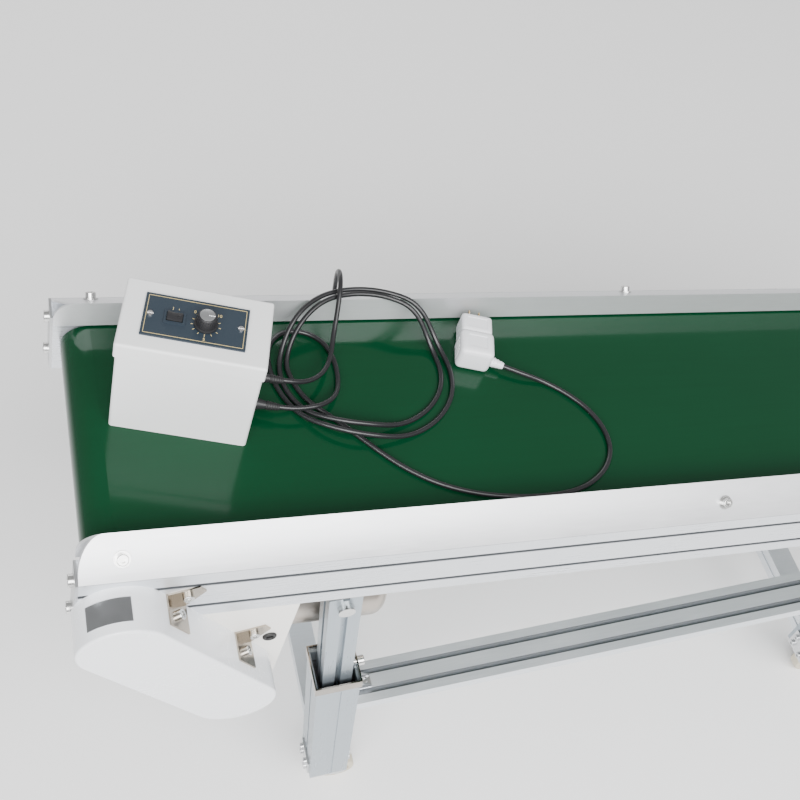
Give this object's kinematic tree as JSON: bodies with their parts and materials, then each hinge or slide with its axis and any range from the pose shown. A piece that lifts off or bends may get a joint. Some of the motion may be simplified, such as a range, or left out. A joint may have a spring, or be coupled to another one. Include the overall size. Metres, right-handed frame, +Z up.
{
  "type": "inclined belt conveyor section",
  "caption": "Short inclined belt conveyor with bent side guards on a height-adjustable wheeled stand, with an end drive, a speed control box and a coiled mains cord.",
  "frame": {"origin": "on the floor under the middle of the whole conveyor, cord left out", "axes": "+X along the belt from the high drive end to the low tail end, +Y from the drive cover's side to the far side, +Z up"},
  "size_m": [1.5072, 0.4406, 1.0035],
  "materials": {
    "anodised_profile": "anodised extruded aluminium, satin",
    "guard_aluminium": "satin aluminium sheet",
    "plain_steel": "zinc plated steel",
    "stainless": "polished stainless, slightly warm",
    "zinc_bolts": "bright zinc",
    "green_belt": "glossy dark green PVC",
    "white_cover": "smooth white gloss paint",
    "badge_plate": "plain grey plate",
    "cream_paint": "smooth off-white paint",
    "grey_casting": "plain cast housing",
    "motor_shell": "satin metal shell",
    "black_rubber": "toothed black rubber",
    "box_plastic": "light grey-white moulded plastic",
    "panel_face": "dark slate printed plate with plain marks",
    "black_plastic": "black moulded plastic",
    "cord_black": "black PVC sheath",
    "plug_white": "white moulded plastic",
    "brass_pins": "worn brass",
    "wheel_beige": "beige wheel tread"
  },
  "bodies": {
    "stand": {"head_outer_legs": "anodised_profile", "tail_outer_legs": "anodised_profile", "leg_collars": "stainless", "leg_bushes": "black_plastic", "stretcher_near": "anodised_profile", "stretcher_far": "anodised_profile", "cross_rails": "anodised_profile", "corner_brackets": "plain_steel", "foot_plates": "plain_steel", "lock_bolts": "zinc_bolts", "caster_plates": "plain_steel"},
    "tail_legs": {"tail_inner_legs": "anodised_profile", "tail_pivot_bolts": "zinc_bolts"},
    "head_legs": {"head_inner_legs": "anodised_profile", "head_pivot_bolts": "zinc_bolts"},
    "head_roller": {"head_roller": "plain_steel", "head_sprocket": "plain_steel"},
    "tail_roller": {"tail_roller": "plain_steel"},
    "return_roller": {"return_roller": "plain_steel"},
    "motor_sprocket": {"motor_sprocket": "plain_steel"},
    "speed_knob": {"speed_knob": "black_plastic"},
    "rocker_switch": {"rocker_switch": "black_plastic"},
    "caster_fork_1": {"caster_fork_1": "plain_steel"},
    "caster_wheel_1": {"caster_wheel_1": "wheel_beige"},
    "caster_fork_2": {"caster_fork_2": "plain_steel"},
    "caster_wheel_2": {"caster_wheel_2": "wheel_beige"},
    "caster_fork_3": {"caster_fork_3": "plain_steel"},
    "caster_wheel_3": {"caster_wheel_3": "wheel_beige"},
    "caster_fork_4": {"caster_fork_4": "plain_steel"},
    "caster_wheel_4": {"caster_wheel_4": "wheel_beige"},
    "bed": {"cable_glands": "black_plastic", "control_box": "box_plastic", "control_lid": "box_plastic", "control_panel": "panel_face", "conveyor_belt": "green_belt", "cover_badge": "badge_plate", "cover_clips": "stainless", "cover_screws": "zinc_bolts", "cross_ties": "anodised_profile", "drive_cover": "white_cover", "drive_loop": "black_rubber", "end_plates": "plain_steel", "frame_bolts": "zinc_bolts", "gearbox": "grey_casting", "guard_far": "guard_aluminium", "guard_near": "guard_aluminium", "head_pivot_brackets": "plain_steel", "mains_cord": "cord_black", "mains_plug": "plug_white", "motor": "motor_shell", "motor_cord": "cord_black", "motor_plate": "cream_paint", "panel_screws": "zinc_bolts", "plug_pins": "brass_pins", "return_roller_brackets": "plain_steel", "roller_bearings": "plain_steel", "side_rail_far": "anodised_profile", "side_rail_near": "anodised_profile", "slider_plate": "plain_steel", "tail_pivot_brackets": "plain_steel"}
  },
  "joints": [
    {"name": "height_adjust", "type": "slide", "parent": "stand", "child": "tail_legs", "axis": [0, 0, 1], "range_m": [-0.02, 0.06]},
    {"name": "bed_tilt", "type": "hinge", "parent": "tail_legs", "child": "bed", "pos_m": [0.43386, 0.024, 0.53345], "axis": [0, 1, 0], "range_deg": [-10, 3]},
    {"name": "head_leg_slide", "type": "slide", "parent": "tail_legs", "child": "head_legs", "axis": [0, 0, 1], "range_m": [-0.16, 0.05]},
    {"name": "head_roller_spin", "type": "hinge", "parent": "bed", "child": "head_roller", "pos_m": [-0.69874, 0.024, 0.83237], "axis": [0, 1, 0], "continuous": true},
    {"name": "tail_roller_spin", "type": "hinge", "parent": "bed", "child": "tail_roller", "pos_m": [0.69968, 0.024, 0.58579], "axis": [0, 1, 0], "continuous": true},
    {"name": "return_roller_spin", "type": "hinge", "parent": "bed", "child": "return_roller", "pos_m": [-0.0078, 0.024, 0.6622], "axis": [0, 1, 0], "continuous": true},
    {"name": "motor_sprocket_spin", "type": "hinge", "parent": "bed", "child": "motor_sprocket", "pos_m": [-0.59468, -0.189, 0.61631], "axis": [0, 1, 0], "continuous": true},
    {"name": "speed_knob_turn", "type": "hinge", "parent": "bed", "child": "speed_knob", "pos_m": [-0.57087, 0.05183, 0.98742], "axis": [0.1736, 0, 0.9848], "range_deg": [0, 270]},
    {"name": "rocker_tip", "type": "hinge", "parent": "bed", "child": "rocker_switch", "pos_m": [-0.60085, 0.06204, 0.9924], "axis": [0.2549, 0.9659, -0.0449], "range_deg": [-8, 8]},
    {"name": "caster_swivel_1", "type": "hinge", "parent": "stand", "child": "caster_fork_1", "pos_m": [-0.45414, -0.132, 0.074], "axis": [0, 0, 1], "continuous": true},
    {"name": "caster_roll_1", "type": "hinge", "parent": "caster_fork_1", "child": "caster_wheel_1", "pos_m": [-0.43414, -0.132, 0.03], "axis": [0, 1, 0], "continuous": true},
    {"name": "caster_swivel_2", "type": "hinge", "parent": "stand", "child": "caster_fork_2", "pos_m": [-0.45414, 0.18, 0.074], "axis": [0, 0, 1], "continuous": true},
    {"name": "caster_roll_2", "type": "hinge", "parent": "caster_fork_2", "child": "caster_wheel_2", "pos_m": [-0.43414, 0.18, 0.03], "axis": [0, 1, 0], "continuous": true},
    {"name": "caster_swivel_3", "type": "hinge", "parent": "stand", "child": "caster_fork_3", "pos_m": [0.43386, -0.132, 0.074], "axis": [0, 0, 1], "continuous": true},
    {"name": "caster_roll_3", "type": "hinge", "parent": "caster_fork_3", "child": "caster_wheel_3", "pos_m": [0.45386, -0.132, 0.03], "axis": [0, 1, 0], "continuous": true},
    {"name": "caster_swivel_4", "type": "hinge", "parent": "stand", "child": "caster_fork_4", "pos_m": [0.43386, 0.18, 0.074], "axis": [0, 0, 1], "continuous": true},
    {"name": "caster_roll_4", "type": "hinge", "parent": "caster_fork_4", "child": "caster_wheel_4", "pos_m": [0.45386, 0.18, 0.03], "axis": [0, 1, 0], "continuous": true}
  ],
  "couplings": [
    {"joint": "head_leg_slide", "follows": "bed_tilt", "m_per_rad": 0.905},
    {"joint": "tail_roller_spin", "follows": "head_roller_spin", "ratio": 1},
    {"joint": "return_roller_spin", "follows": "head_roller_spin", "ratio": -2},
    {"joint": "motor_sprocket_spin", "follows": "head_roller_spin", "ratio": 1}
  ]
}
